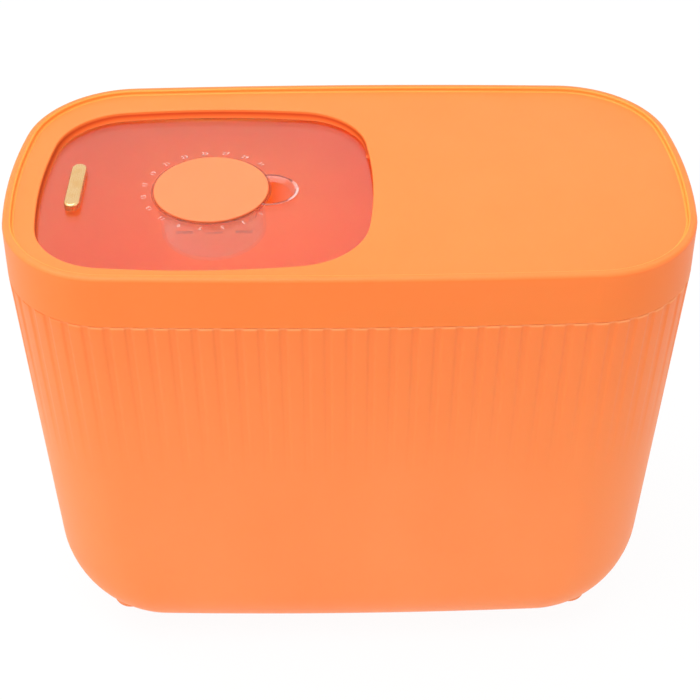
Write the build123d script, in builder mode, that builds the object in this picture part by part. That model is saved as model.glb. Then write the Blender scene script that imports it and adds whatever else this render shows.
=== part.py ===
"""Rice bucket with a lift-off lid, a sliding window panel and a turning number dial."""
import os
from math import atan2, cos, degrees, hypot, pi, radians, sin, sqrt

from build123d import *

os.makedirs("parts", exist_ok=True)

# Plan outline at the seam between lid and bucket: bowed sides, bowed ends, tangent corners
body_width = 360.0
body_depth = 188.2
corner_radius = 58.7
end_bow = 293.0
side_bow = 3330.0

# Heights, measured up from the surface that the feet stand on
foot_lift = 3.0
seam_height = 252.0
lid_height = 29.0
neck_height = 14.0

# Bucket
bucket_wall = 3.0
bucket_draft = 0.02
base_end_radius = 57.3
base_side_radius = 40.3
base_steps = 7
base_corner_least = 8.0
reed_count = 90
reed_depth = 0.8
reed_length = 116.0
reed_shift = -1.4
reed_flat = 0.1
reed_run_out = 0.1
neck_wall = 2.2
neck_gap = 0.6
seam_chamfer = 0.5

# Feet
foot_end_margin = 44.0
foot_side_margin = 44.1
foot_boss_radius = 11.0
foot_boss_rise = 30.0
foot_pad_radius = 8.0
foot_pad_height = 2.2
foot_pad_edge = 0.6
foot_stem_radius = 3.0
foot_stem_length = 5.0
foot_clearance = 0.05

# Lid gasket
gasket_height = 3.0
gasket_depth = 0.9
gasket_proud = 0.3
gasket_rise = 6.0

# Lid
lid_wall = 2.4
lid_draft = 0.042
rim_width = 4.5
rim_edge = 2.0
rim_inner_edge = 1.0
deck_drop = 2.5
deck_floor_edge = 1.2
deck_thickness = 2.2
window_end_margin = 18.0
window_past_middle = 12.4
window_front_margin = 13.7
window_rear_margin = 24.5
window_corner = 39.4
window_end_bow = 272.0
window_side_bow = 447.0
window_edge = 0.8
lip_wall = 1.4
lip_gap = 0.25
gate_room = 1.0

# Sliding panel
panel_drop = 4.0
panel_thickness = 2.4
panel_overlap = 4.5

# Slide frame under the deck
frame_gap = 0.4
frame_web = 1.8
frame_ledge = 4.0
frame_ledge_thickness = 2.2
frame_side_bow = 60000.0
flange_width = 9.5
flange_end_margin = 54.7
flange_edge = 2.0
frame_screw_margin = 13.0
frame_screw_count = 4
frame_boss_radius = 3.5
hook_count = 4
hook_end_margin = 85.7
hook_length = 14.0
hook_reach = 2.4
hook_height = 2.0
runner_end_margin = 48.7
runner_width = 2.2
runner_height = 1.2
runner_proud = 0.4
runner_inset = 0.9

# Screws
screw_radius = 1.3
screw_hole_clearance = 0.05
screw_head_radius = 2.5
screw_head_height = 1.5
screw_socket_radius = 0.9
screw_socket_depth = 0.8
frame_screw_bite = 3.4
grip_screw_bite = 2.6
screw_tip_room = 0.3

# Grip bar
grip_margin = 18.1
grip_shift = 0.9
grip_stop_gap = 2.3
grip_length = 39.6
grip_width = 8.0
grip_height = 4.0
grip_edge = 1.2
grip_screw_spacing = 22.0
grip_screw_count = 2

# Number dial
dial_shift = 2.0
dial_radius = 30.2
dial_height = 1.15
dial_edge = 0.45
dial_cap_thickness = 1.8
plug_radius = 25.2
plug_clearance = 0.1
plug_wall = 1.6
plug_depth = 6.0
o_ring_section = 1.0
o_ring_seat = 0.05
o_ring_drop = 0.5

# Canister under the dial, and the collar that holds it
canister_radius = 28.0
canister_wall = 1.6
canister_depth = 25.9
canister_floor = 1.8
canister_edge = 4.0
canister_inner_edge = 2.4
canister_clearance = 0.05
collar_wall = 1.5
collar_depth = 4.6
vent_length = 9.0
vent_width = 2.2
vent_spacing_x = 16.0
vent_spacing_y = 12.0
vent_columns = 3
vent_rows = 3

# Finger notch beside the dial
notch_radius = 16.0
notch_slope = 3.5
notch_depth = 4.6
notch_floor = 1.5

# Levels that follow from the sizes above
top_level = seam_height + lid_height
neck_top = seam_height + neck_height
deck_top = top_level - deck_drop
deck_under = deck_top - deck_thickness
panel_top = deck_top - panel_drop
panel_under = panel_top - panel_thickness
ledge_top = panel_under - runner_proud
ledge_under = ledge_top - frame_ledge_thickness
reed_end = seam_height - reed_length
canister_base = panel_under - canister_depth

# Places that follow from the sizes above
window_left = window_end_margin - body_width / 2
window_width = window_past_middle - window_left
window_depth = body_depth - window_front_margin - window_rear_margin
window_x = (window_left + window_past_middle) / 2
window_y = (window_front_margin - window_rear_margin) / 2
grip_x = window_left + grip_margin
grip_y = window_y + grip_shift
dial_x = window_x + dial_shift
dial_y = window_y
panel_travel = window_past_middle - grip_stop_gap - grip_x - grip_width / 2
panel_half_depth = window_depth / 2 + panel_overlap
track_length = window_width + panel_travel + 2 * panel_overlap
track_x = window_x + panel_travel / 2
flange_y = window_y + panel_half_depth + frame_gap + frame_web + flange_width / 2
flange_length = track_length - 2 * flange_end_margin
frame_hole_radius = screw_radius + screw_hole_clearance
frame_screw_spacing = (flange_length - 2 * frame_screw_margin) / (frame_screw_count - 1)
hook_spacing = (track_length - 2 * hook_end_margin) / (hook_count - 1)
runner_length = track_length - 2 * runner_end_margin
foot_x = body_width / 2 - foot_end_margin
foot_y = body_depth / 2 - foot_side_margin


def outline_arcs(width, depth, corner, ends, sides):
    """Eight tangent arcs, counter-clockwise from the middle of the right end."""
    end_x = width / 2 - ends
    side_y = depth / 2 - sides
    to_end = ends - corner
    to_side = sides - corner
    apart = hypot(end_x, side_y)
    along = (to_end**2 - to_side**2 + apart**2) / (2 * apart)
    across = sqrt(to_end**2 - along**2)
    unit_x = -end_x / apart
    unit_y = side_y / apart
    corner_x = end_x + along * unit_x - across * unit_y
    corner_y = along * unit_y + across * unit_x
    turn_end = atan2(corner_y, corner_x - end_x)
    turn_side = atan2(corner_y - side_y, corner_x)
    return [
        ((end_x, 0), ends, -turn_end, 2 * turn_end),
        ((corner_x, corner_y), corner, turn_end, turn_side - turn_end),
        ((0, side_y), sides, turn_side, pi - 2 * turn_side),
        ((-corner_x, corner_y), corner, pi - turn_side, turn_side - turn_end),
        ((-end_x, 0), ends, pi - turn_end, 2 * turn_end),
        ((-corner_x, -corner_y), corner, pi + turn_end, turn_side - turn_end),
        ((0, -side_y), sides, pi + turn_side, pi - 2 * turn_side),
        ((corner_x, -corner_y), corner, 2 * pi - turn_side, turn_side - turn_end),
    ]


def draw_outline(width, depth, corner, ends, sides):
    """A filled outline in the active sketch."""
    with BuildLine() as boundary:
        for centre, radius, start, sweep in outline_arcs(width, depth, corner, ends, sides):
            CenterArc(centre, radius, degrees(start), degrees(sweep))
    make_face(boundary.edges())


def draw_body(inset):
    """The body's outline, drawn in by an inset all round."""
    draw_outline(
        body_width - 2 * inset,
        body_depth - 2 * inset,
        corner_radius - inset,
        end_bow - inset,
        side_bow - inset,
    )


def draw_window(grow):
    """The window's outline, let out all round."""
    draw_outline(
        window_width + 2 * grow,
        window_depth + 2 * grow,
        window_corner + grow,
        window_end_bow + grow,
        window_side_bow + grow,
    )


def draw_track(grow):
    """The outline that the panel sweeps over its whole travel, let out all round."""
    draw_outline(
        track_length + 2 * grow,
        window_depth + 2 * (panel_overlap + grow),
        window_corner + panel_overlap + grow,
        window_end_bow + panel_overlap + grow,
        frame_side_bow,
    )


def station(arcs, travel):
    """Point and outward normal at a length along the outline."""
    for centre, radius, start, sweep in arcs:
        if travel <= radius * sweep:
            angle = start + travel / radius
            break
        travel -= radius * sweep
    return (centre[0] + radius * cos(angle), centre[1] + radius * sin(angle)), (cos(angle), sin(angle))


def draw_reeds(inset, depth):
    """The body's outline as a ring of convex reeds, with grooves of the given depth between them."""
    arcs = outline_arcs(body_width, body_depth, corner_radius, end_bow, side_bow)
    length = sum(radius * sweep for _, radius, _, sweep in arcs)
    front_middle = end_bow * arcs[0][3] / 2 + length * 3 / 4
    marks = []
    for half in range(2 * reed_count):
        travel = front_middle + reed_shift + length * half / (2 * reed_count)
        point, normal = station(arcs, travel % length)
        drop = inset + (0 if half % 2 else depth)
        marks.append((point[0] - drop * normal[0], point[1] - drop * normal[1]))
    marks.append(marks[0])
    with BuildLine() as boundary:
        for reed in range(reed_count):
            ThreePointArc(*marks[2 * reed:2 * reed + 3])
    make_face(boundary.edges())


def base_ring(step, wall, floor):
    """Height and drawn-in size of one section of the rounded base."""
    end_radius = base_end_radius - wall
    side_radius = base_side_radius - wall
    tallest = max(end_radius, side_radius)
    rise = tallest * (1 - sin(radians(90) * step / base_steps))
    lean = wall + bucket_draft * (seam_height - floor - rise)
    insets = []
    for radius in (end_radius, side_radius):
        below = max(radius - rise, 0)
        insets.append(lean + radius - sqrt(radius**2 - below**2))
    return floor + rise, insets[0], insets[1]


def loft_base(wall, floor):
    """Rounded lower part of the bucket, or of its hollow, lofted in the active part."""
    sections = []
    for step in range(base_steps + 1):
        level, inset_x, inset_y = base_ring(step, wall, floor)
        with BuildSketch(Plane.XY.offset(level)) as section:
            draw_outline(
                body_width - 2 * inset_x,
                body_depth - 2 * inset_y,
                max(corner_radius - min(inset_x, inset_y), base_corner_least),
                end_bow - inset_x,
                side_bow - inset_y,
            )
        sections.append(section.sketch)
    loft(sections)


def draft_inset(level, draft):
    """Inset of a wall that leans in on both sides of the seam."""
    return draft * abs(level - seam_height)


def loft_band(low, low_inset, high, high_inset, mode=Mode.ADD):
    """Straight band between two outlines of the body, lofted in the active part."""
    with BuildSketch(Plane.XY.offset(low)) as foot_section:
        draw_body(low_inset)
    with BuildSketch(Plane.XY.offset(high)) as head_section:
        draw_body(high_inset)
    loft([foot_section.sketch, head_section.sketch], ruled=True, mode=mode)


def lid_band(low, high, inset, mode=Mode.ADD):
    """Band that leans in with the lid's draft."""
    low_inset = inset + draft_inset(low, lid_draft)
    high_inset = inset + draft_inset(high, lid_draft)
    loft_band(low, low_inset, high, high_inset, mode)


def bucket_band(low, high, inset, mode=Mode.ADD):
    """Band that leans in with the bucket's draft."""
    low_inset = inset + draft_inset(low, bucket_draft)
    high_inset = inset + draft_inset(high, bucket_draft)
    loft_band(low, low_inset, high, high_inset, mode)


def export(builder, name):
    """Label a finished piece and write it."""
    builder.part.label = name
    export_step(builder.part, f"parts/{name}.step")


neck_inset = lid_wall + neck_gap
outer_base_top = base_ring(0, 0, foot_lift)[0]
hollow_floor = foot_lift + bucket_wall
hollow_base_top = base_ring(0, bucket_wall, hollow_floor)[0]
feet = {
    "foot_front_left": (-foot_x, -foot_y),
    "foot_front_right": (foot_x, -foot_y),
    "foot_rear_left": (-foot_x, foot_y),
    "foot_rear_right": (foot_x, foot_y),
}

# Hollow of the bucket: rounded base, leaning walls and the narrower neck
with BuildPart() as hollow:
    loft_base(bucket_wall, hollow_floor)
    bucket_band(hollow_base_top, seam_height - neck_wall, bucket_wall)
    lid_band(seam_height - neck_wall, neck_top, neck_inset + neck_wall)

# Upper wall: the grooves between the reeds lean in from just outside the wall, so they fade out downwards
groove_depth = reed_depth + reed_flat
with BuildPart() as reeded_wall:
    bucket_band(reed_end, seam_height, 0)
    with BuildSketch(Plane.XY.offset(reed_end)):
        draw_reeds(draft_inset(reed_end, bucket_draft) - groove_depth - reed_run_out, groove_depth)
    with BuildSketch(Plane.XY.offset(seam_height)):
        draw_reeds(-reed_flat, groove_depth)
    loft(ruled=True, mode=Mode.INTERSECT)

# Bucket: rounded base, plain lower wall, reeded upper wall, neck and foot bosses
with BuildPart() as bucket:
    loft_base(0, foot_lift)
    bucket_band(outer_base_top, reed_end, 0)
    add(reeded_wall.part)
    lid_band(seam_height, neck_top, neck_inset)
    with BuildSketch(Plane.XY.offset(foot_pad_height)):
        with Locations(*feet.values()):
            Circle(foot_boss_radius)
    extrude(amount=foot_boss_rise)
    add(hollow.part, mode=Mode.SUBTRACT)
    with BuildSketch(Plane.XY.offset(foot_pad_height)):
        with Locations(*feet.values()):
            Circle(foot_stem_radius + foot_clearance)
    extrude(amount=foot_stem_length + foot_clearance, mode=Mode.SUBTRACT)
    with BuildSketch(Plane.XY.offset(seam_height + gasket_rise)):
        draw_body(0)
        gasket_inset = neck_inset + gasket_depth + draft_inset(seam_height + gasket_rise, lid_draft)
        with BuildSketch(mode=Mode.PRIVATE) as groove_core:
            draw_body(gasket_inset)
        add(groove_core.sketch, mode=Mode.SUBTRACT)
    extrude(amount=gasket_height, mode=Mode.SUBTRACT)
export(bucket, "bucket")

# Rubber feet, each with a stem pressed into its boss
for name, place in feet.items():
    with BuildPart() as foot:
        with BuildSketch(Plane.XY):
            with Locations(place):
                Circle(foot_pad_radius)
        extrude(amount=foot_pad_height)
        fillet(foot.edges().filter_by(GeomType.CIRCLE).group_by(Axis.Z)[0], foot_pad_edge)
        with BuildSketch(Plane.XY.offset(foot_pad_height)):
            with Locations(place):
                Circle(foot_stem_radius)
        extrude(amount=foot_stem_length)
    export(foot, name)

# Gasket in the groove round the neck
with BuildPart() as lid_gasket:
    with BuildSketch(Plane.XY.offset(seam_height + gasket_rise)):
        draw_body(gasket_inset - gasket_depth - gasket_proud)
        with BuildSketch(mode=Mode.PRIVATE) as gasket_core:
            draw_body(gasket_inset)
        add(gasket_core.sketch, mode=Mode.SUBTRACT)
    extrude(amount=gasket_height)
export(lid_gasket, "lid_gasket")

# Lid: skirt and deck in one shell, with a raised rim and a window whose lip stops just above the panel.
# The lip is open at the right, where the dial passes under the deck. Screw bosses and hooks carry the frame.
rim_inset = draft_inset(top_level, lid_draft) + rim_width
hook_y = window_y - panel_half_depth - frame_gap - frame_web + hook_reach
with BuildPart() as lid_shell:
    lid_band(seam_height, top_level, 0)
    fillet(lid_shell.faces().sort_by(Axis.Z)[-1].edges(), rim_edge)
    chamfer(lid_shell.faces().sort_by(Axis.Z)[0].edges(), seam_chamfer)
    with BuildSketch(Plane.XY.offset(top_level)):
        draw_body(rim_inset)
    extrude(amount=-deck_drop, mode=Mode.SUBTRACT)
    deck = lid_shell.faces().filter_by(Plane.XY).filter_by_position(Axis.Z, deck_top, deck_top)[0]
    fillet(deck.outer_wire().edges(), deck_floor_edge)
    rim = lid_shell.faces().filter_by(Plane.XY).sort_by(Axis.Z)[-1]
    fillet(rim.inner_wires()[0].edges(), rim_inner_edge)
    lid_band(seam_height, deck_under, lid_wall, mode=Mode.SUBTRACT)
    with BuildSketch(Plane((window_x, window_y, panel_top + lip_gap))):
        draw_window(lip_wall)
        with Locations((window_width / 2, dial_y - window_y)):
            Rectangle(window_width / 2, 2 * (dial_radius + gate_room), mode=Mode.SUBTRACT)
    extrude(amount=deck_under - panel_top - lip_gap)
    with BuildSketch(Plane((window_x, window_y, deck_top))):
        draw_window(0)
    extrude(amount=panel_top - deck_top, mode=Mode.SUBTRACT)
    deck = lid_shell.faces().filter_by(Plane.XY).filter_by_position(Axis.Z, deck_top, deck_top)[0]
    fillet(deck.inner_wires()[0].edges(), window_edge)
    with BuildSketch(Plane((0, flange_y, ledge_top))):
        with GridLocations(frame_screw_spacing, 0, frame_screw_count, 1):
            Circle(frame_boss_radius)
            Circle(frame_hole_radius, mode=Mode.SUBTRACT)
    extrude(amount=deck_under - ledge_top)
    with BuildSketch(Plane.XY.offset(ledge_under - hook_height)):
        draw_body(lid_wall)
        with BuildSketch(mode=Mode.PRIVATE) as hook_places:
            with Locations((0, hook_y - body_depth / 2)):
                with GridLocations(hook_spacing, 0, hook_count, 1):
                    Rectangle(hook_length, body_depth)
        add(hook_places.sketch, mode=Mode.INTERSECT)
    extrude(amount=hook_height)
export(lid_shell, "lid_shell")

# Slide frame: ledge and web round the panel's path, with a screw flange at the rear
with BuildPart() as slide_frame:
    with BuildSketch(Plane((track_x, window_y, ledge_under))):
        draw_track(frame_gap + frame_web)
        with BuildSketch(mode=Mode.PRIVATE) as ledge_opening:
            draw_track(-frame_ledge)
        add(ledge_opening.sketch, mode=Mode.SUBTRACT)
    extrude(amount=frame_ledge_thickness)
    with BuildSketch(Plane((track_x, window_y, ledge_top))):
        draw_track(frame_gap + frame_web)
        with BuildSketch(mode=Mode.PRIVATE) as web_opening:
            draw_track(frame_gap)
        add(web_opening.sketch, mode=Mode.SUBTRACT)
    extrude(amount=deck_under - ledge_top)
    with BuildSketch(Plane((0, flange_y - frame_web, ledge_under))):
        RectangleRounded(flange_length, flange_width, flange_edge)
    extrude(amount=frame_ledge_thickness)
    with BuildSketch(Plane((0, flange_y, ledge_under))):
        with GridLocations(frame_screw_spacing, 0, frame_screw_count, 1):
            Circle(frame_hole_radius)
    extrude(amount=frame_ledge_thickness, mode=Mode.SUBTRACT)
    with BuildSketch(Plane((0, window_y, ledge_top))):
        with GridLocations(0, 2 * (panel_half_depth - runner_inset - runner_width / 2), 1, 2):
            Rectangle(runner_length, runner_width)
    extrude(amount=runner_proud - runner_height, mode=Mode.SUBTRACT)
export(slide_frame, "slide_frame")

# Low-friction strips in the frame's grooves
for name, side in (("front_runner", -1), ("rear_runner", 1)):
    runner_y = window_y + side * (panel_half_depth - runner_inset - runner_width / 2)
    with BuildPart() as runner:
        with BuildSketch(Plane((0, runner_y, panel_under))):
            Rectangle(runner_length, runner_width)
        extrude(amount=-runner_height)
    export(runner, name)

# Window panel: plate with a collar for the canister and a dished finger notch
notch_x = dial_x + dial_radius
collar_radius = canister_radius + canister_clearance + collar_wall
with BuildPart() as window_panel:
    with BuildSketch(Plane((window_x, window_y, panel_under))):
        draw_window(panel_overlap)
    extrude(amount=panel_thickness)
    with BuildSketch(Plane((notch_x, dial_y, panel_top))):
        Circle(notch_radius + notch_floor)
    with BuildSketch(Plane((notch_x, dial_y, panel_top - notch_depth - notch_floor))):
        Circle(notch_radius + notch_floor - notch_slope)
    loft(ruled=True)
    with BuildSketch(Plane((notch_x, dial_y, panel_top))):
        Circle(notch_radius)
    with BuildSketch(Plane((notch_x, dial_y, panel_top - notch_depth))):
        Circle(notch_radius - notch_slope)
    loft(ruled=True, mode=Mode.SUBTRACT)
    with BuildSketch(Plane((dial_x, dial_y, panel_top))):
        Circle(collar_radius)
    extrude(amount=-panel_thickness - collar_depth)
    with BuildSketch(Plane((dial_x, dial_y, panel_under))):
        Circle(canister_radius + canister_clearance)
    extrude(amount=-notch_depth - collar_depth, mode=Mode.SUBTRACT)
    with BuildSketch(Plane((dial_x, dial_y, panel_top))):
        Circle(plug_radius + plug_clearance)
    extrude(amount=-panel_thickness, mode=Mode.SUBTRACT)
    with BuildSketch(Plane((grip_x, grip_y, panel_top))):
        with GridLocations(0, grip_screw_spacing, 1, grip_screw_count):
            Circle(frame_hole_radius)
    extrude(amount=-panel_thickness, mode=Mode.SUBTRACT)
export(window_panel, "window_panel")

# Grip bar on the panel
with BuildPart() as grip_bar:
    with BuildSketch(Plane((grip_x, grip_y, panel_top))):
        SlotOverall(grip_length, grip_width, rotation=90)
    extrude(amount=grip_height)
    fillet(grip_bar.faces().sort_by(Axis.Z)[-1].edges(), grip_edge)
    with BuildSketch(Plane((grip_x, grip_y, panel_top))):
        with GridLocations(0, grip_screw_spacing, 1, grip_screw_count):
            Circle(frame_hole_radius)
    extrude(amount=grip_screw_bite + screw_tip_room, mode=Mode.SUBTRACT)
export(grip_bar, "grip_bar")


def draw_screws(plane, spacing_x, count_x, spacing_y, count_y, shank):
    """A row of pan-head screws in the active part, heads below the plane and shanks above it."""
    with BuildSketch(plane) as shanks:
        with GridLocations(spacing_x, spacing_y, count_x, count_y):
            Circle(screw_radius)
    extrude(shanks.sketch, amount=shank)
    with BuildSketch(plane) as heads:
        with GridLocations(spacing_x, spacing_y, count_x, count_y):
            Circle(screw_head_radius)
    extrude(heads.sketch, amount=-screw_head_height)
    with BuildSketch(plane.offset(-screw_head_height)) as sockets:
        with GridLocations(spacing_x, spacing_y, count_x, count_y):
            RegularPolygon(screw_socket_radius, 6)
    extrude(sockets.sketch, amount=screw_socket_depth, mode=Mode.SUBTRACT)


# Screws that hold the frame to the deck's bosses
with BuildPart() as slide_frame_screws:
    frame_shank = frame_ledge_thickness + frame_screw_bite
    frame_plane = Plane((0, flange_y, ledge_under))
    draw_screws(frame_plane, frame_screw_spacing, frame_screw_count, 0, 1, frame_shank)
export(slide_frame_screws, "slide_frame_screws")

# Screws that hold the grip bar, from below the panel
with BuildPart() as grip_bar_screws:
    grip_shank = panel_thickness + grip_screw_bite
    grip_plane = Plane((grip_x, grip_y, panel_under))
    draw_screws(grip_plane, 0, 1, grip_screw_spacing, grip_screw_count, grip_shank)
export(grip_bar_screws, "grip_bar_screws")

# Canister: cup pushed up into the panel's collar, with vent slots in its floor
with BuildPart() as canister:
    with BuildSketch(Plane((dial_x, dial_y, panel_under))):
        Circle(canister_radius)
    extrude(amount=-canister_depth)
    fillet(canister.edges().filter_by(GeomType.CIRCLE).group_by(Axis.Z)[0], canister_edge)
    inside_base = canister_base + canister_floor
    with BuildSketch(Plane((dial_x, dial_y, inside_base))):
        Circle(canister_radius - canister_wall)
    extrude(amount=canister_depth, mode=Mode.SUBTRACT)
    rings = canister.edges().filter_by(GeomType.CIRCLE)
    fillet(rings.filter_by_position(Axis.Z, inside_base, inside_base), canister_inner_edge)
    with BuildSketch(Plane((dial_x, dial_y, canister_base))):
        with GridLocations(vent_spacing_x, vent_spacing_y, vent_columns, vent_rows):
            SlotOverall(vent_length, vent_width)
    extrude(amount=canister_floor, mode=Mode.SUBTRACT)
export(canister, "canister")

# Dial disc: cap with a hollow plug that turns in the panel's hole
o_ring_level = panel_under - o_ring_drop - o_ring_section
groove_radius = plug_radius + plug_clearance + o_ring_section / 2 - 2 * o_ring_section
with BuildPart() as dial_disc:
    with BuildSketch(Plane((dial_x, dial_y, panel_top))):
        Circle(dial_radius)
    extrude(amount=dial_height)
    fillet(dial_disc.faces().sort_by(Axis.Z)[-1].edges(), dial_edge)
    with BuildSketch(Plane((dial_x, dial_y, panel_top))):
        Circle(plug_radius)
    extrude(amount=-plug_depth)
    with BuildSketch(Plane((dial_x, dial_y, panel_top - plug_depth))):
        Circle(groove_radius - o_ring_seat - plug_wall)
    extrude(amount=plug_depth + dial_height - dial_cap_thickness, mode=Mode.SUBTRACT)
    with BuildSketch(Plane((dial_x, dial_y, o_ring_level - o_ring_section - o_ring_seat))):
        Circle(plug_radius + plug_clearance)
        Circle(groove_radius - o_ring_seat, mode=Mode.SUBTRACT)
    extrude(amount=2 * (o_ring_section + o_ring_seat), mode=Mode.SUBTRACT)
export(dial_disc, "dial_disc")

# Ring that seals the plug and keeps it from lifting out by itself
with BuildPart() as dial_o_ring:
    with BuildSketch(Plane((dial_x, dial_y, o_ring_level), x_dir=(1, 0, 0), z_dir=(0, -1, 0))):
        with Locations((groove_radius + o_ring_section, 0)):
            Circle(o_ring_section)
    revolve(axis=Axis((dial_x, dial_y, 0), (0, 0, 1)))
export(dial_o_ring, "dial_o_ring")
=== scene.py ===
import math

import bmesh
import bpy
from mathutils import Matrix, Vector


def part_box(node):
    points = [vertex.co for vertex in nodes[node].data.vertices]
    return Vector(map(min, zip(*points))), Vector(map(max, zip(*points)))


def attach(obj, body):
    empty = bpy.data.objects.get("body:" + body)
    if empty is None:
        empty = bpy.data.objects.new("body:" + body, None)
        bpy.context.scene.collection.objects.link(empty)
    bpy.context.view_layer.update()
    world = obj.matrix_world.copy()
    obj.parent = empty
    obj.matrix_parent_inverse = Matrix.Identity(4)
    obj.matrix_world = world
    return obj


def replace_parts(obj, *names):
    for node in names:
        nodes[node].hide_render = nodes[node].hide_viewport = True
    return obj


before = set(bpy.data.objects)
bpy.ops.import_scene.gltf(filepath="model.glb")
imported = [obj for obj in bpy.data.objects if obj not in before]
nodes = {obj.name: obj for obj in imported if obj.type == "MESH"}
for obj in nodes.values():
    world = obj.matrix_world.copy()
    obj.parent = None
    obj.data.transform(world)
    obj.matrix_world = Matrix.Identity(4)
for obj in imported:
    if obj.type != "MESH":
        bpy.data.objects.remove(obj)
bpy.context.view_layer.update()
scene = bpy.context.scene
mm = 0.001
discCentre = (-72.8, -5.4)  # middle of the dial in plan, mm
print("frame loaded:", len(nodes), "nodes")


class Wire:  # a socket that can be used in sums
    def __init__(self, sheet, socket):
        self.sheet = sheet
        self.socket = socket

    def maths(self, operation, first, second):
        return self.sheet.node("ShaderNodeMath", {"operation": operation}, {0: first, 1: second})

    def __add__(self, other):
        return self.maths("ADD", self, other)

    def __radd__(self, other):
        return self.maths("ADD", other, self)

    def __sub__(self, other):
        return self.maths("SUBTRACT", self, other)

    def __rsub__(self, other):
        return self.maths("SUBTRACT", other, self)

    def __mul__(self, other):
        return self.maths("MULTIPLY", self, other)

    def __rmul__(self, other):
        return self.maths("MULTIPLY", other, self)

    def larger(self, other):
        return self.maths("MAXIMUM", self, other)


class Sheet:  # the node sheet of a material or of the world
    def __init__(self, owner):
        owner.use_nodes = True
        self.owner = owner
        self.tree = owner.node_tree
        self.tree.nodes.clear()

    def node(self, kind, settings=None, sockets=None, out=0):
        made = self.tree.nodes.new(kind)
        for key, value in (settings or {}).items():
            setattr(made, key, value)
        for key, value in (sockets or {}).items():
            if isinstance(value, Wire):
                self.tree.links.new(value.socket, made.inputs[key])
            else:
                made.inputs[key].default_value = value
        return Wire(self, made.outputs[out]) if made.outputs else None

    def place(self):  # position on the piece, in metres
        return self.node("ShaderNodeTexCoord", out="Object")

    def along(self, axis):  # one coordinate of that position
        return self.node("ShaderNodeSeparateXYZ", None, {0: self.place()}, out=axis)

    def noise(self, scale, detail=2.0, rough=0.5, stretch=None):
        place = self.place()
        if stretch:
            place = self.node("ShaderNodeMapping", None, {0: place, "Scale": stretch})
        sockets = {0: place, "Scale": scale, "Detail": detail, "Roughness": rough}
        return self.node("ShaderNodeTexNoise", None, sockets)

    def ramp(self, value, low, high, first=0.0, last=1.0):  # first below low, last above high
        sockets = {0: value, 1: low, 2: high, 3: first, 4: last}
        return self.node("ShaderNodeMapRange", {"clamp": True}, sockets)

    def mix(self, share, first, second):
        return self.node("ShaderNodeMix", {"data_type": "RGBA"}, {0: share, 6: first, 7: second}, out=2)

    def blend(self, share, first, second):  # of two shaders
        return self.node("ShaderNodeMixShader", None, {0: share, 1: first, 2: second})

    def bump(self, height, strength, distance):
        sockets = {"Strength": strength, "Distance": distance, "Height": height}
        return self.node("ShaderNodeBump", None, sockets)

    def principled(self, sockets):
        return self.node("ShaderNodeBsdfPrincipled", None, sockets)

    def show(self, shader, kind="ShaderNodeOutputMaterial"):
        self.node(kind, None, {0: shader})
        return self.owner


plasticLook = {  # heights and spans of all looks are in metres
    "deep": (0.95, 0.238, 0.05, 1), "pale": (0.98, 0.262, 0.062, 1),
    "cloudScale": 9.0, "cloudDetail": 3.0, "cloudRange": (0.3, 0.7), "cloudShare": 0.65,  # pigment drift
    "flowScale": 30.0, "flowStretch": (1, 1, 0.22), "flowRange": (0.35, 0.75),  # upright streaks
    "grainScale": 1900.0, "grainRough": 0.6, "grain": 0.16, "grainHeight": 0.00006,  # texture of the mould
    "rough": 0.4, "roughGrain": 0.12, "roughCloud": 0.03, "bend": 1.49, "gloss": 0.35,
    "glow": 0.2, "glowDepth": 0.006, "glowReach": (1.0, 0.32, 0.12),
}
tubLook = dict(
    # painted shade: a deeper tone on the upper wall, below the lid
    plasticLook, upper=(0.94, 0.205, 0.035, 1), upperHeight=(0.14, 0.27),
    # painted highlight: a bright line along the top of the reeds, fading out towards the left end
    reedHighlightTone=(0.99, 0.33, 0.11, 1), reedHighlightHeight=(0.2503, 0.2513), reedHighlightSpan=(-0.155, -0.12),
)
# painted light: a paler copy of the tub's plastic that brightens the dim inside of the tub
litInsideLook = dict(plasticLook, deep=(0.985, 0.355, 0.07, 1), pale=(0.99, 0.385, 0.085, 1), gloss=0.2)
lidLook = dict(plasticLook, deep=(0.96, 0.213, 0.044, 1), pale=(0.98, 0.23, 0.052, 1), gloss=0.25)
# painted shade: a deeper copy of the lid's plastic on the lid's outer wall
shadedSkirtLook = dict(lidLook, deep=(0.95, 0.207, 0.034, 1), pale=(0.97, 0.224, 0.042, 1))
# painted light: a paler, yellower copy of the lid's plastic on the inside of the rim
litCreaseLook = dict(lidLook, deep=(0.92, 0.3, 0.045, 1), pale=(0.94, 0.32, 0.052, 1))
# painted light: a much paler copy of the plastic, so the frame seen through the panel is not in shade
litFrameLook = dict(plasticLook, deep=(0.98, 0.4, 0.1, 1), pale=(1.0, 0.44, 0.12, 1), gloss=0.2)
dialLook = dict(plasticLook, deep=(0.95, 0.213, 0.075, 1), pale=(0.97, 0.231, 0.085, 1), rough=0.45)


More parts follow.
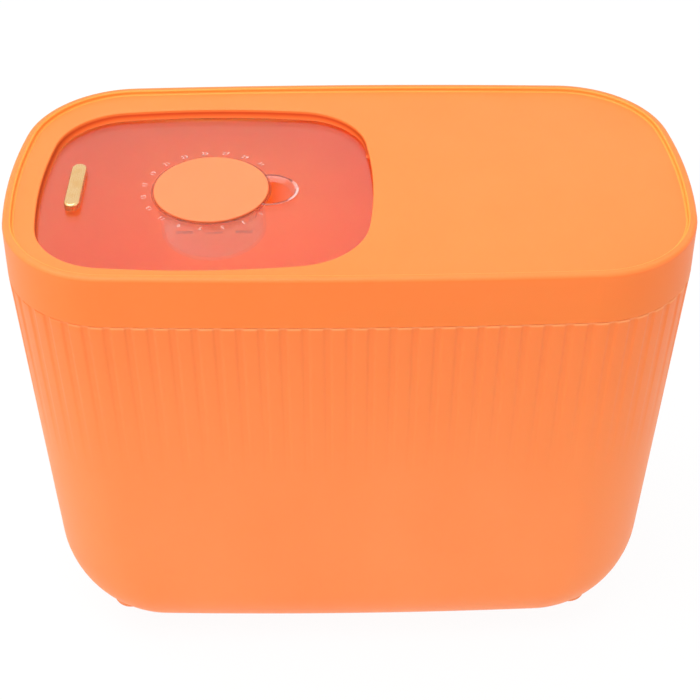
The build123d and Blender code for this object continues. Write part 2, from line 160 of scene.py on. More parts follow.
def mouldedPlastic(name, look):
    f = Sheet(bpy.data.materials.new(name))
    cloud = f.ramp(f.noise(look["cloudScale"], look["cloudDetail"]), *look["cloudRange"])
    flow = f.ramp(f.noise(look["flowScale"], stretch=look["flowStretch"]), *look["flowRange"])
    grain = f.noise(look["grainScale"], rough=look["grainRough"])
    drift = cloud * look["cloudShare"] + flow * (1 - look["cloudShare"])
    shade = f.mix(drift, look["deep"], look["pale"])
    if "reedHighlightTone" in look:  # painted shade: deeper colour below the lid; painted highlight: bright edge at the top of the reeds
        height = f.along("Z")
        reedHighlight = f.ramp(height, *look["reedHighlightHeight"]) * f.ramp(f.along("X"), *look["reedHighlightSpan"])
        shade = f.mix(f.ramp(height, *look["upperHeight"]), shade, look["upper"])
        shade = f.mix(reedHighlight, shade, look["reedHighlightTone"])
    return f.show(f.principled({
        "Base Color": shade,
        "Roughness": look["rough"] + grain * look["roughGrain"] - cloud * look["roughCloud"],
        "Normal": f.bump(grain, look["grain"], look["grainHeight"]),
        "IOR": look["bend"],
        "Specular IOR Level": look["gloss"],
        "Subsurface Weight": look["glow"],
        "Subsurface Radius": look["glowReach"],
        "Subsurface Scale": look["glowDepth"],
    }))


windowLook = {
    "deep": (0.97, 0.93, 0.91, 1), "pale": (1.0, 0.97, 0.95, 1), "tint": (0.96, 0.93, 0.92, 1),
    "hazeScale": 26.0, "hazeDetail": 3.0, "hazeRange": (0.35, 0.75), "rough": 0.02, "smear": 0.02,
    "clear": 1.0, "bend": 1.15, "polish": 0.68, "coatRough": 0.15, "coatBend": 1.5,
}
# painted shade: the dish's deeper tint stands for the white reflection that the dish misses
dishLook = dict(
    windowLook, deep=(1.0, 0.86, 0.78, 1), pale=(1.0, 0.9, 0.84, 1), bend=1.05,
    polish=0.6, polishSpan=(-0.0415, -0.0325),
)
lipLook = dict(windowLook, clear=0.95, polish=0.5)
collarLook = dict(windowLook, bend=1.02, polish=0.0)


def clearPlastic(name, look):
    f = Sheet(bpy.data.materials.new(name))
    haze = f.ramp(f.noise(look["hazeScale"], look["hazeDetail"]), *look["hazeRange"])
    polish = look["polish"]
    if "polishSpan" in look:  # gloss that comes in away from the disc
        polish = f.ramp(f.along("X"), *look["polishSpan"]) * look["polish"]
    body = f.principled({
        "Base Color": f.mix(haze, look["deep"], look["pale"]),
        "Roughness": look["rough"] + haze * look["smear"],
        "IOR": look["bend"],
        "Transmission Weight": look["clear"],
        "Coat Weight": polish,
        "Coat IOR": look["coatBend"],
        "Coat Roughness": look["coatRough"],
    })
    through = f.node("ShaderNodeBsdfTransparent", None, {0: look["tint"]})
    toLamp = f.node("ShaderNodeLightPath", out="Is Shadow Ray")  # such rays go straight through
    return f.show(f.blend(toLamp, body, through))


# painted light and shade on the wall of the recess: a painted highlight at its foot, painted shade below the
# deck
recessLightAndShadeLook = {
    "foot": (0.9, 0.175, 0.045, 1), "footHeight": (0.2745, 0.2752),
    "wall": (0.84, 0.13, 0.022, 1), "shade": (0.58, 0.05, 0.005, 1), "shadeHeight": (0.2753, 0.2767),
    "brim": lidLook["deep"], "brimHeight": (0.2769, 0.278), "rough": 0.4, "roughGrain": 0.12, "gloss": 0.1,
}


def recessEdge(name, look):  # painted light and shade on the recess wall: bright foot, darkest just below the deck, the deck's colour on its round edge
    f = Sheet(bpy.data.materials.new(name))
    height = f.along("Z")
    grain = f.noise(plasticLook["grainScale"], rough=plasticLook["grainRough"])
    shade = f.mix(f.ramp(height, *look["shadeHeight"]), look["wall"], look["shade"])
    shade = f.mix(f.ramp(height, *look["footHeight"]), look["foot"], shade)
    shade = f.mix(f.ramp(height, *look["brimHeight"]), shade, look["brim"])
    return f.show(f.principled({
        "Base Color": shade,
        "Roughness": look["rough"] + grain * look["roughGrain"],
        "Specular IOR Level": look["gloss"],
    }))


goldLook = {
    "bright": (0.83, 0.55, 0.26, 1), "dull": (0.77, 0.46, 0.18, 1),
    "brushScale": 2600.0, "brushRough": 0.6, "brushStretch": (1, 0.04, 1),  # fine lines along the bar
    "brush": 0.12, "brushHeight": 0.00002,
    "dullScale": 120.0, "dullDetail": 3.0, "dullRange": (0.4, 0.75),
    "rough": 0.2, "roughBrush": 0.12, "roughDull": 0.05,
}


def satinGold(name, look):
    f = Sheet(bpy.data.materials.new(name))
    brush = f.noise(look["brushScale"], rough=look["brushRough"], stretch=look["brushStretch"])
    dull = f.ramp(f.noise(look["dullScale"], look["dullDetail"]), *look["dullRange"])
    return f.show(f.principled({
        "Base Color": f.mix(dull, look["bright"], look["dull"]),
        "Metallic": 1.0,
        "Roughness": look["rough"] + brush * look["roughBrush"] + dull * look["roughDull"],
        "Normal": f.bump(brush, look["brush"], look["brushHeight"]),
    }))


steelLook = {
    "deep": (0.55, 0.55, 0.56, 1), "pale": (0.66, 0.66, 0.67, 1),
    "scuffScale": 900.0, "scuffDetail": 3.0, "scuffRough": 0.6, "scuff": 0.1, "scuffHeight": 0.00002,
    "rough": 0.28, "roughScuff": 0.16,
}


def turnedSteel(name, look):
    f = Sheet(bpy.data.materials.new(name))
    scuff = f.noise(look["scuffScale"], look["scuffDetail"], look["scuffRough"])
    return f.show(f.principled({
        "Base Color": f.mix(scuff, look["deep"], look["pale"]),
        "Metallic": 1.0,
        "Roughness": look["rough"] + scuff * look["roughScuff"],
        "Normal": f.bump(scuff, look["scuff"], look["scuffHeight"]),
    }))


trimLook = {
    "cover": 1.0, "bloomScale": 60.0, "bloomDetail": 4.0, "bloomRange": (0.35, 0.7), "roughBloom": 0.08,
    "poreScale": 1500.0, "pore": 0.14, "poreHeight": 0.00004, "roughPore": 0.08,
}
sealLook = dict(trimLook, deep=(0.74, 0.73, 0.7, 1), pale=(0.82, 0.81, 0.78, 1), rough=0.45)
runnerLook = dict(trimLook, deep=(0.93, 0.25, 0.055, 1), pale=(0.97, 0.3, 0.075, 1), rough=0.3)
footLook = dict(trimLook, deep=(0.78, 0.19, 0.045, 1), pale=(0.86, 0.23, 0.06, 1), rough=0.6)
inkLook = dict(trimLook, deep=(0.86, 0.72, 0.66, 1), pale=(0.93, 0.8, 0.74, 1), rough=0.5, cover=0.23)
# painted shade in the cup's slots
ventShadeLook = dict(trimLook, deep=(0.2, 0.05, 0.03, 1), pale=(0.24, 0.07, 0.04, 1), rough=0.6, cover=0.12)
# painted shadow round the disc
gapShadowLook = dict(trimLook, deep=(0.3, 0.05, 0.02, 1), pale=(0.36, 0.07, 0.03, 1), rough=0.6, cover=0.26)
cupLook = dict(trimLook, deep=(0.44, 0.39, 0.4, 1), pale=(0.54, 0.47, 0.48, 1), rough=0.25, cover=0.065)
# painted highlight, painted shade and faint painted highlight on the bead round the dish
lipHighlightLook = dict(
    trimLook, deep=(0.86, 0.7, 0.68, 1), pale=(0.95, 0.82, 0.8, 1), rough=0.2,
    cover=0.16, rightCover=0.42, coverSpan=(-0.0335, -0.029),
)
lipShadeLook = dict(
    trimLook, deep=(0.26, 0.05, 0.03, 1), pale=(0.32, 0.07, 0.04, 1), rough=0.3,
    cover=0.8, rightCover=0.6, coverSpan=(-0.043, -0.03),
)
faintHighlightLook = dict(
    trimLook, deep=(0.74, 0.46, 0.42, 1), pale=(0.8, 0.52, 0.48, 1), rough=0.2,
    cover=0.16, rightCover=0.42, coverSpan=(-0.0298, -0.0278),
)


def softTrim(name, look):  # rubber, strips, print, the cup, and painted shade and highlights: the thin tones round the disc, the dish and in the cup's slots
    f = Sheet(bpy.data.materials.new(name))
    cover = look["cover"]
    if "coverSpan" in look:  # cover that changes to the right
        cover = cover + f.ramp(f.along("X"), *look["coverSpan"]) * (look["rightCover"] - cover)
    bloom = f.ramp(f.noise(look["bloomScale"], look["bloomDetail"]), *look["bloomRange"])
    pores = f.noise(look["poreScale"])
    return f.show(f.principled({
        "Base Color": f.mix(bloom, look["deep"], look["pale"]),
        "Roughness": look["rough"] + bloom * look["roughBloom"] + pores * look["roughPore"],
        "Alpha": cover,
        "Normal": f.bump(pores, look["pore"], look["poreHeight"]),
    }))


finishes = {
    "tub": mouldedPlastic("satinTub", tubLook),
    "inside": mouldedPlastic("paleLitInside", litInsideLook),
    "lid": mouldedPlastic("satinLid", lidLook),
    "skirt": mouldedPlastic("shadedSkirt", shadedSkirtLook),
    "crease": mouldedPlastic("litRimCrease", litCreaseLook),
    "frame": mouldedPlastic("paleLitFrame", litFrameLook),
    "dial": mouldedPlastic("satinDial", dialLook),
    "window": clearPlastic("clearWindow", windowLook),
    "dish": clearPlastic("notchFloor", dishLook),
    "lip": clearPlastic("notchLip", lipLook),
    "collar": clearPlastic("hiddenCollar", collarLook),
    "recess": recessEdge("recessEdge", recessLightAndShadeLook),
    "gold": satinGold("satinGold", goldLook),
    "steel": turnedSteel("turnedSteel", steelLook),
    "seal": softTrim("siliconeSeal", sealLook),
    "runner": softTrim("acetalRunner", runnerLook),
    "foot": softTrim("rubberFoot", footLook),
    "ink": softTrim("paleInk", inkLook),
    "vent": softTrim("ventShade", ventShadeLook),
    "gap": softTrim("gapShadow", gapShadowLook),
    "canister": softTrim("frostedCup", cupLook),
    "shine": softTrim("paintedLipHighlight", lipHighlightLook),
    "brink": softTrim("paintedLipShade", lipShadeLook),
    "faint": softTrim("paintedFaintHighlight", faintHighlightLook),
}
print("finishes made:", len(finishes))

cadFinish = {  # the CAD pieces that stay in view
    "foot_front_left": "foot", "foot_front_right": "foot",
    "foot_rear_left": "foot", "foot_rear_right": "foot",
    "lid_gasket": "seal", "dial_o_ring": "seal", "slide_frame": "frame", "canister": "canister",
    "grip_bar": "gold", "slide_frame_screws": "steel", "grip_bar_screws": "steel", "dial_disc": "dial",
}


def addFinishes(data, names):
    for name in names.split():
        data.materials.append(finishes[name])


def paint(data, names):  # in place of the finishes that it had
    data.materials.clear()
    addFinishes(data, names)


for nodeName, finish in cadFinish.items():
    paint(nodes[nodeName].data, finish)
print("CAD pieces painted:", len(cadFinish))


def outlineArcs(width, depth, corner, ends, sides):  # eight tangent arcs, from the middle of the right end
    endX, sideY = width / 2 - ends, depth / 2 - sides
    toEnd, toSide = ends - corner, sides - corner
    apart = math.hypot(endX, sideY)
    along = (toEnd**2 - toSide**2 + apart**2) / (2 * apart)
    across = math.sqrt(toEnd**2 - along**2)
    ux, uy = -endX / apart, sideY / apart
    cx, cy = endX + along * ux - across * uy, along * uy + across * ux
    turnEnd, turnSide = math.atan2(cy, cx - endX), math.atan2(cy - sideY, cx)
    swing = turnSide - turnEnd
    return [
        (endX, 0, ends, -turnEnd, 2 * turnEnd), (cx, cy, corner, turnEnd, swing),
        (0, sideY, sides, turnSide, math.pi - 2 * turnSide), (-cx, cy, corner, math.pi - turnSide, swing),
        (-endX, 0, ends, math.pi - turnEnd, 2 * turnEnd), (-cx, -cy, corner, math.pi + turnEnd, swing),
        (0, -sideY, sides, math.pi + turnSide, math.pi - 2 * turnSide),
        (cx, -cy, corner, 2 * math.pi - turnSide, swing),
    ]


def skin(mesh, rings, closed, split=None):  # faces between rings; the second finish starts at ring split
    made = [[mesh.verts.new(point) for point in ring] for ring in rings]
    for row, (low, high) in enumerate(zip(made, made[1:])):
        for i in range(len(low)):
            j = (i + 1) % len(low)
            face = mesh.faces.new((low[i], low[j], high[j], high[i]))
            face.material_index = int(split is not None and row >= split)
    if closed:
        mesh.faces.new(reversed(made[0]))
        mesh.faces.new(made[-1]).material_index = int(split is not None)


def circle(centre, radius, level, count):
    ring = []
    for i in range(count):
        angle = 2 * math.pi * i / count
        x, y = centre[0] + radius * math.cos(angle), centre[1] + radius * math.sin(angle)
        ring.append(Vector((x, y, level)) * mm)
    return ring


def finishPiece(name, mesh, finish, body, sharp):  # sharp is the least angle of a hard edge, degrees
    bmesh.ops.recalc_face_normals(mesh, faces=mesh.faces)
    data = bpy.data.meshes.new(name)
    mesh.to_mesh(data)
    mesh.free()
    data.shade_smooth()
    data.set_sharp_from_angle(angle=math.radians(sharp))
    addFinishes(data, finish)
    piece = bpy.data.objects.new(name, data)
    scene.collection.objects.link(piece)
    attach(piece, body)
    return piece


tub = {  # sizes of all pieces are in mm, turns in degrees
    "width": 360.0, "depth": 188.2, "corner": 58.7, "endBow": 293.0, "sideBow": 3330.0,  # plan at the seam
    "seam": 252.0, "foot": 3.0, "wall": 3.0, "draft": 0.02, "lidDraft": 0.042, "topRound": 0.7,
    "baseEnd": 57.3, "baseSide": 40.3, "cornerLeast": 8.0,  # rounding of the base
    "reeds": 90, "reedDepth": 0.8, "reedFade": 144.0, "reedShift": -1.4,
    "reedCrown": 0.5, "reedFlank": 0.3, "reedBow": 0.12, "fadeBend": 0.25,  # a reed's section and its fade
    "neckInset": 3.0, "neckWall": 2.2, "neckTop": 266.0, "neckEdge": 0.7,
    "grooveLow": 258.0, "grooveHigh": 261.0, "grooveInset": 4.152,
    "bossX": 136.0, "bossY": 50.0, "bossRadius": 11.0, "bossBase": 2.2, "bossTop": 16.0,
    "bossRound": 0.8, "bossBevel": 0.25, "bossSides": 48,
    "perReed": 20, "baseRings": 22, "wallRings": 6, "reedRings": 24, "innerRings": 9,
    "crownTurns": (30, 60, 90), "sharp": 40,
}


def reedMarks():  # stations round the seam: arc, share of the arc, place within a reed
    arcs = outlineArcs(tub["width"], tub["depth"], tub["corner"], tub["endBow"], tub["sideBow"])
    lengths = [radius * sweep for _, _, radius, _, sweep in arcs]
    whole = sum(lengths)
    start = lengths[0] / 2 + whole * 3 / 4 + tub["reedShift"]  # near the middle of the front
    count = tub["reeds"] * tub["perReed"]
    marks = []
    for i in range(count):
        travel = (start + whole * i / count) % whole
        arc = 0
        while travel > lengths[arc]:
            travel -= lengths[arc]
            arc += 1
        marks.append((arc, travel / lengths[arc], (i % tub["perReed"]) / tub["perReed"]))
    return marks


def reedDrop(off):  # share of the groove's depth, from the middle of a reed to the middle of a groove
    share = min(max((off - tub["reedCrown"]) / tub["reedFlank"], 0), 1)
    return tub["reedBow"] * off**2 + (1 - tub["reedBow"]) * share * share * (3 - 2 * share)


def tubRing(marks, insetX, insetY, level, groove=0.0):
    corner = max(tub["corner"] - min(insetX, insetY), tub["cornerLeast"])
    arcs = outlineArcs(tub["width"] - 2 * insetX, tub["depth"] - 2 * insetY, corner,
                       tub["endBow"] - insetX, tub["sideBow"] - insetY)
    ring = []
    for arc, share, reed in marks:
        x, y, radius, start, sweep = arcs[arc]
        angle = start + share * sweep
        reach = radius - groove * reedDrop(abs(2 * reed - 1))
        ring.append(Vector((x + reach * math.cos(angle), y + reach * math.sin(angle), level)) * mm)
    return ring


def evenRing(marks, inset, level, groove=0.0):
    return tubRing(marks, inset, inset, level, groove)


def baseRing(marks, step, wall, floor):  # one section of the rounded base
    endRadius, sideRadius = tub["baseEnd"] - wall, tub["baseSide"] - wall
    rise = max(endRadius, sideRadius) * (1 - math.sin(math.pi / 2 * step / tub["baseRings"]))
    lean = wall + tub["draft"] * (tub["seam"] - floor - rise)
    insets = []
    for radius in (endRadius, sideRadius):
        below = max(radius - rise, 0)
        insets.append(lean + radius - math.sqrt(radius**2 - below**2))
    return tubRing(marks, insets[0], insets[1], floor + rise)


def wallInset(level):
    return tub["draft"] * (tub["seam"] - level)


def neckInset(level):
    return tub["neckInset"] + tub["lidDraft"] * (level - tub["seam"])


def outerRings(marks):  # from the base up to the seam
    rings = [baseRing(marks, step, 0, tub["foot"]) for step in range(tub["baseRings"], -1, -1)]
    baseTop = tub["foot"] + tub["baseEnd"]
    for i in range(1, tub["wallRings"]):
        level = baseTop + (tub["reedFade"] - baseTop) * i / tub["wallRings"]
        rings.append(evenRing(marks, wallInset(level), level))
    crown = tub["seam"] - tub["topRound"]
    for i in range(tub["reedRings"] + 1):
        share = i / tub["reedRings"]
        level = tub["reedFade"] + (crown - tub["reedFade"]) * share
        deep = share * (1 + tub["fadeBend"] - tub["fadeBend"] * share)  # quickly at first, then levelling off
        rings.append(evenRing(marks, wallInset(level), level, tub["reedDepth"] * deep))
    for turn in tub["crownTurns"]:
        inset = tub["topRound"] * (1 - math.cos(math.radians(turn)))
        level = crown + tub["topRound"] * math.sin(math.radians(turn))
        rings.append(evenRing(marks, inset, level, tub["reedDepth"]))
    return rings


def neckRings(marks):  # up the neck with its gasket groove, and over the top edge
    low, high, edge = tub["grooveLow"], tub["grooveHigh"], tub["neckTop"] - tub["neckEdge"]
    top = neckInset(tub["neckTop"])
    inner = top + tub["neckWall"]
    steps = [
        (neckInset(tub["seam"]), tub["seam"]), (neckInset(low), low), (tub["grooveInset"], low),
        (tub["grooveInset"], high), (neckInset(high), high), (neckInset(edge), edge),
        (top + tub["neckEdge"], tub["neckTop"]), (inner - tub["neckEdge"], tub["neckTop"]), (inner, edge),
    ]
    return [evenRing(marks, inset, level) for inset, level in steps]


def innerRings(marks):  # down the inside to the middle of the floor
    under = tub["seam"] - tub["neckWall"]
    floor = tub["foot"] + tub["wall"]
    insideBase = floor + tub["baseEnd"] - tub["wall"]
    rings = [evenRing(marks, tub["neckInset"] + tub["neckWall"], under)]
    for i in range(tub["innerRings"]):
        level = under + (insideBase - under) * i / tub["innerRings"]
        rings.append(evenRing(marks, tub["wall"] + wallInset(level), level))
    return rings + [baseRing(marks, step, tub["wall"], floor) for step in range(tub["baseRings"] + 1)]


def makeTub():
    marks = reedMarks()
    outside = outerRings(marks) + neckRings(marks)
    mesh = bmesh.new()
    skin(mesh, outside + innerRings(marks), True, len(outside) - 1)
    radius, low = tub["bossRadius"], tub["bossBase"]
    profile = [
        (radius - tub["bossRound"], low), (radius - tub["bossBevel"], low + tub["bossBevel"]),
        (radius, low + tub["bossRound"]), (radius, tub["bossTop"]),
    ]
    for sideX in (-1, 1):
        for sideY in (-1, 1):
            centre = (sideX * tub["bossX"], sideY * tub["bossY"])
            skin(mesh, [circle(centre, reach, level, tub["bossSides"]) for reach, level in profile], True)
    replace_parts(finishPiece("reededTub", mesh, "tub inside", "tub", tub["sharp"]), "bucket")


makeTub()
print("tub made")


def recut(name, nodeName, finish, body, choose=None):  # copy of a CAD piece, each face's finish chosen
    node = nodes[nodeName]
    data = node.data.copy()
    data.name = name
    paint(data, finish)
    for face in data.polygons:
        face.material_index = choose(node.matrix_world @ face.center / mm, face.normal) if choose else 0
    piece = bpy.data.objects.new(name, data)
    piece.matrix_world = node.matrix_world
    scene.collection.objects.link(piece)
    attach(piece, body)
    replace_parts(piece, nodeName)
    return data


recess = {
    "centre": (-74.8, -5.4), "half": (87.2, 75.0), "reach": 3.0, "low": 274.7, "high": 278.5, "steep": 0.6,
    "lip": 274.75, "lipSeen": 274.54, "lipNear": 0.02, "leanRear": 2.4, "leanLeft": 0.9,
    "creaseLow": 278.52, "creaseFlat": 0.98, "skirtSteep": 0.35,
}


def inRecess(spot, normal):  # on a steep face that looks to the middle of the window
    offX, offY = spot.x - recess["centre"][0], spot.y - recess["centre"][1]
    nearX = abs(offX) < recess["half"][0] + recess["reach"]
    nearY = abs(offY) < recess["half"][1] + recess["reach"]
    inward = normal.x * offX + normal.y * offY < 0
    level = recess["low"] < spot.z < recess["high"]
    return nearX and nearY and inward and level and normal.z < recess["steep"]


def lidFace(spot, normal):  # 0 deck, 1 wall of the recess (painted light and shade), 2 inside of the rim (painted light), 3 skirt (painted shade)
    inward = normal.x * spot.x + normal.y * spot.y < 0
    if inward and spot.z > recess["creaseLow"] and normal.z < recess["creaseFlat"]:
        return 2
    if inRecess(spot, normal):
        return 1
    return 0 if inward or abs(normal.z) >= recess["skirtSteep"] else 3


def toMicron(point):  # in mm to the nearest micron, so that points that coincide compare equal
    return tuple(round(c / mm, 3) for c in point)


def closeLip(data):  # the lip comes down to just above the panel, and its foot leans in over the edge
    ways = {}
    for face in data.polygons:
        if face.material_index == 1:
            for index in face.vertices:
                spot = toMicron(data.vertices[index].co)
                ways[spot] = ways.get(spot, Vector()) + face.normal
    for vert in data.vertices:
        spot = toMicron(vert.co)
        if abs(spot[2] - recess["lip"]) < recess["lipNear"]:
            way = ways.get(spot, Vector()).normalized()
            lean = recess["leanRear"] * max(-way.y, 0) + recess["leanLeft"] * max(way.x, 0)
            vert.co = Vector((spot[0] + way.x * lean, spot[1] + way.y * lean, recess["lipSeen"])) * mm


closeLip(recut("smoothLid", "lid_shell", "lid recess crease skirt", "lid", lidFace))
print("lid made")

runner = {"pieces": {"frontStrip": "front_runner", "rearStrip": "rear_runner"}, "clear": 0.05}


def makeRunners():  # the strips stay just clear of the panel, so that light gets between
    for name, nodeName in runner["pieces"].items():
        data = recut(name, nodeName, "runner", "lid")
        top = max(vert.co.z for vert in data.vertices)
        for vert in data.vertices:
            if vert.co.z > top - runner["clear"] / 2 * mm:
                vert.co.z = top - runner["clear"] * mm


makeRunners()
print("runners made")

notch = {
    "centre": (-42.6, -5.4), "radius": 16.0, "floorRadius": 12.5, "floor": 269.9, "top": 274.5,
    "plateUnder": 272.1, "bossRadius": 17.7, "discRadius": 28.6,
    "narrowRight": 0.94, "narrowRear": 0.87, "narrowFront": 0.87, "shallow": 0.55,
    "near": 0.05, "underGap": 0.1, "flat": 0.9, "wallFlat": 0.3,  # for telling its faces apart
}


def panelFace(spot, normal):  # 0 plate, 1 dish floor, 2 dish wall, 3 collar
    away = math.hypot(spot.x - notch["centre"][0], spot.y - notch["centre"][1])
    under = spot.z < notch["plateUnder"] - notch["underGap"]
    onFloor = abs(spot.z - notch["floor"]) < notch["near"] and away < notch["floorRadius"]
    if onFloor and normal.z > notch["flat"]:
        return 1
    if under and away < notch["bossRadius"] and normal.z < 0:
        return 1 if normal.z < -notch["flat"] else 3
    inDish = notch["floor"] < spot.z < notch["top"] - notch["near"] and away < notch["radius"]
    if inDish and normal.z > notch["wallFlat"]:
        return 2
    return 3 if under and away > notch["radius"] else 0


def narrowed(x, y):  # the dish is a little flatter than a circle
    x *= notch["narrowRight"] if x > 0 else 1
    y *= notch["narrowRear"] if y > 0 else notch["narrowFront"]
    return notch["centre"][0] + x, notch["centre"][1] + y


def softenNotch(data):  # the dish in the photo is shallower and a little narrower than a full round
    for vert in data.vertices:
        x, y, z = vert.co / mm
        offX, offY = x - notch["centre"][0], y - notch["centre"][1]
        clear = math.hypot(x - discCentre[0], y - discCentre[1]) > notch["discRadius"]
        if math.hypot(offX, offY) < notch["bossRadius"] and clear:
            x, y = narrowed(offX, offY)
            vert.co.xy = x * mm, y * mm
            if abs(z - notch["plateUnder"]) > notch["near"]:
                vert.co.z = (notch["top"] - (notch["top"] - z) * notch["shallow"]) * mm


panelFinish = "window dish lip collar"
softenNotch(recut("clearPanel", "window_panel", panelFinish, "window", panelFace))
print("panel made")

bead = {
    "inside": 1.2, "half": 1.15, "halfThin": 0.3, "height": 0.6,
    "turn": 103.0, "thinFrom": 5.0, "thinTo": 50.0,  # degrees from the right, to the rear
    "rightFrom": -48.0, "faintFrom": 0.0, "darkFrom": 34.0,
    "frontDark": (0.3, 0.86), "rightDark": (0.0, 0.45), "steps": 96, "sides": 12, "sharp": 40,
}


def beadTone(turn, across):  # 0 painted highlight, 1 painted shade, 2 faint painted highlight
    if turn > bead["faintFrom"]:
        return 1 if turn > bead["darkFrom"] else 2
    low, high = bead["frontDark"] if turn < bead["rightFrom"] else bead["rightDark"]
    return int(low < across < high)


def beadRow(mesh, turn):  # one section of the bead, from its inner edge to its outer edge
    slope = (notch["top"] - notch["floor"]) * notch["shallow"] / (notch["radius"] - notch["floorRadius"])
    share = min(max((turn - bead["thinFrom"]) / (bead["thinTo"] - bead["thinFrom"]), 0), 1)
    half = bead["half"] + (bead["halfThin"] - bead["half"]) * share
    angle = math.radians(turn)
    row = []
    for k in range(bead["sides"] + 1):
        tilt = math.pi * k / bead["sides"]
        reach = notch["radius"] + half * (1 - bead["inside"] - math.cos(tilt))
        foot = notch["top"] - slope * max(notch["radius"] - reach, 0)
        rise = bead["height"] * half / bead["half"] * math.sin(tilt)
        x, y = narrowed(reach * math.cos(angle), reach * math.sin(angle))
        row.append(mesh.verts.new(Vector((x, y, foot + rise)) * mm))
    return row


def makeBead():  # low ridge round the dish, wide in front and thin at the rear, up to the disc; it carries the painted highlights and shade of the dish's edge
    mesh = bmesh.new()
    turns = [bead["turn"] * (2 * i / bead["steps"] - 1) for i in range(bead["steps"] + 1)]
    rows = [beadRow(mesh, turn) for turn in turns]
    for turn, a, b in zip(turns, rows, rows[1:]):
        for k in range(len(a)):
            j = (k + 1) % len(a)
            face = mesh.faces.new((a[k], a[j], b[j], b[k]))
            face.material_index = beadTone(turn, (k + 0.5) / bead["sides"])
    mesh.faces.new(reversed(rows[0]))
    mesh.faces.new(rows[-1])
    finishPiece("notchBead", mesh, "shine brink faint", "window", bead["sharp"])


makeBead()
print("bead made")

vents = {"x": (-16.0, 0.0, 16.0), "length": 9.0, "width": 2.2, "thick": 0.3, "sharp": 30}


def makeVents():  # painted shade: dark sheets in the middle row of the cup's slots
    mesh = bmesh.new()
    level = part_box("canister")[0][2] / mm + vents["thick"]
    size = Matrix.Diagonal((vents["length"], vents["width"], vents["thick"], 1))
    for x in vents["x"]:
        spot = Matrix.Translation((discCentre[0] + x, discCentre[1], level))
        bmesh.ops.create_cube(mesh, size=1, matrix=Matrix.Scale(mm, 4) @ spot @ size)
    finishPiece("ventShade", mesh, "vent", "window", vents["sharp"])


makeVents()
print("vents made")

numbers = {
    "centre": (-73.1, -5.0), "radius": 35.2, "level": 274.5, "size": 4.0, "thick": 0.06, "smooth": 4,
    "first": 1, "step": 2, "count": 16, "from": 320.0, "to": 43.0, "sharp": 30,
}


def numberMesh(value):
    curve = bpy.data.curves.new("mark", "FONT")
    curve.body = str(value)
    curve.align_x = "CENTER"
    curve.align_y = "CENTER"
    curve.size = numbers["size"] * mm
    curve.extrude = numbers["thick"] / 2 * mm
    curve.resolution_u = numbers["smooth"]
    holder = bpy.data.objects.new("mark", curve)
    scene.collection.objects.link(holder)
    bpy.context.view_layer.update()
    made = holder.evaluated_get(bpy.context.evaluated_depsgraph_get())
    flat = bpy.data.meshes.new_from_object(made)
    bpy.data.objects.remove(holder)
    return flat


def makeNumbers():  # odd numbers round the disc, with their feet towards it
    mesh = bmesh.new()
    swing = (numbers["to"] - numbers["from"]) / (numbers["count"] - 1)
    for i in range(numbers["count"]):
        flat = numberMesh(numbers["first"] + numbers["step"] * i)
        angle = math.radians(numbers["from"] + swing * i)
        x = numbers["centre"][0] + numbers["radius"] * math.cos(angle)
        y = numbers["centre"][1] + numbers["radius"] * math.sin(angle)
        spot = Vector((x, y, numbers["level"] + numbers["thick"] / 2)) * mm
        flat.transform(Matrix.Translation(spot) @ Matrix.Rotation(angle - math.pi / 2, 4, "Z"))
        mesh.from_mesh(flat)
        bpy.data.meshes.remove(flat)
    finishPiece("dialNumbers", mesh, "ink", "window", numbers["sharp"])


makeNumbers()
print("numbers made")

seat = {
    "inner": 30.25, "outer": 31.7, "level": 274.5, "thick": 0.05, "count": 128, "weld": 0.0001, "sharp": 30,
}


def makeSeat():  # painted shadow: a dark ring on the panel round the disc, in its gap
    low, high = seat["level"], seat["level"] + seat["thick"]
    section = ((seat["inner"], low), (seat["outer"], low), (seat["outer"], high), (seat["inner"], high))
    rings = [circle(discCentre, radius, level, seat["count"]) for radius, level in section]
    mesh = bmesh.new()
    skin(mesh, rings + rings[:1], False)
    bmesh.ops.remove_doubles(mesh, verts=mesh.verts, dist=seat["weld"] * mm)
    finishPiece("discSeatShadow", mesh, "gap", "window", seat["sharp"])


makeSeat()
print("seat made")

stage = {  # metres
    "floorSize": 8.0, "floor": (0.94, 0.94, 0.94, 1), "floorPale": (0.95, 0.95, 0.95, 1),
    "speckle": 3.0, "rough": 0.9, "white": (1, 1, 1, 1), "seen": 0.94, "glow": 0.5,
    "horizon": 0.35, "zenith": 1.1,
    "bounces": 24, "diffuseBounces": 12,  # light goes round inside the tub many times
}


def seenRays(f):  # rays that look at the background: from the camera, off gloss or through the panel
    seen = f.node("ShaderNodeLightPath", out="Is Camera Ray")
    for kind in ("Is Glossy Ray", "Is Transmission Ray"):
        seen = seen.larger(f.node("ShaderNodeLightPath", out=kind))
    return seen


def pureFloor():
    f = Sheet(bpy.data.materials.new("pureFloor"))
    paper = f.principled({
        "Base Color": f.mix(f.noise(stage["speckle"]), stage["floor"], stage["floorPale"]),
        "Roughness": stage["rough"],
        "Specular IOR Level": 0.0,
    })
    white = f.node("ShaderNodeEmission", None, {0: stage["white"], 1: 1.0})
    share = (seenRays(f) * stage["seen"]).larger(stage["glow"])
    return f.show(f.blend(share, paper, white))


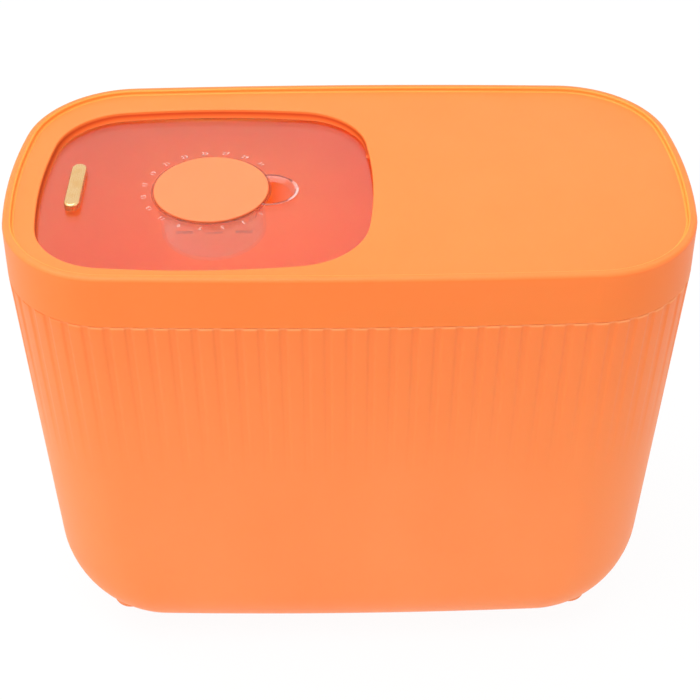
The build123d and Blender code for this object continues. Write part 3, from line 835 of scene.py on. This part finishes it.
def makeWorld():  # white where it is seen, brighter overhead than at the horizon where it lights
    scene.world = bpy.data.worlds.new("studio")
    f = Sheet(scene.world)
    sky = f.node("ShaderNodeTexCoord", out="Generated")
    up = f.node("ShaderNodeSeparateXYZ", None, {0: sky}, out="Z")
    light = f.ramp(up, 0.0, 1.0, stage["horizon"], stage["zenith"])
    dim = f.node("ShaderNodeBackground", None, {0: stage["white"], 1: light})
    bright = f.node("ShaderNodeBackground", None, {0: stage["white"], 1: 1.0})
    f.show(f.blend(seenRays(f), dim, bright), "ShaderNodeOutputWorld")


def makeFloor():
    bpy.ops.mesh.primitive_plane_add(size=stage["floorSize"])
    floor = bpy.context.object
    floor.name = "floor"
    floor.data.materials.append(pureFloor())


lamps = {  # metres
    "overhead": {"at": (-0.35, -0.1, 1.5), "aim": (0, 0, 0.2), "size": 1.2, "watts": 15.0},
    "left": {"at": (-1.3, -0.9, 0.22), "aim": (-0.1, 0, 0.08), "size": 1.8, "watts": 9.0},
    "right": {"at": (1.4, -0.7, 0.4), "aim": (0.1, 0, 0.15), "size": 1.0, "watts": 1.8},
}


def makeLamps():
    for name, lamp in lamps.items():
        data = bpy.data.lights.new(name, "AREA")
        data.shape = "SQUARE"
        data.size = lamp["size"]
        data.energy = lamp["watts"]
        holder = bpy.data.objects.new(name, data)
        holder.location = lamp["at"]
        way = Vector(lamp["aim"]) - Vector(lamp["at"])
        holder.rotation_euler = way.to_track_quat("-Z", "Y").to_euler()
        scene.collection.objects.link(holder)


camera = {  # mm, the roll in degrees
    "eye": (-11.392, -627.308, 691.601), "aim": (0.568, 0.0, 158.252),
    "roll": 0.138, "lens": 72.561, "sensor": 36.0, "near": 10.0,
}


def makeCamera():
    eye, aim = Vector(camera["eye"]) * mm, Vector(camera["aim"]) * mm
    forward = (aim - eye).normalized()
    right = forward.cross(Vector((0, 0, 1))).normalized()
    up = right.cross(forward)
    roll = math.radians(camera["roll"])
    level, plumb = right, up
    right = math.cos(roll) * level + math.sin(roll) * plumb
    up = math.cos(roll) * plumb - math.sin(roll) * level
    data = bpy.data.cameras.new("photoCamera")
    data.lens = camera["lens"]
    data.sensor_width = camera["sensor"]
    data.clip_start = camera["near"] * mm
    holder = bpy.data.objects.new("photoCamera", data)
    holder.matrix_world = Matrix((
        (right.x, up.x, -forward.x, eye.x), (right.y, up.y, -forward.y, eye.y),
        (right.z, up.z, -forward.z, eye.z), (0, 0, 0, 1),
    ))
    scene.collection.objects.link(holder)
    scene.camera = holder


makeFloor()
makeWorld()
makeLamps()
makeCamera()
scene.view_settings.view_transform = "Standard"
scene.cycles.max_bounces = stage["bounces"]
scene.cycles.diffuse_bounces = stage["diffuseBounces"]
print("stage, lamps and camera set")
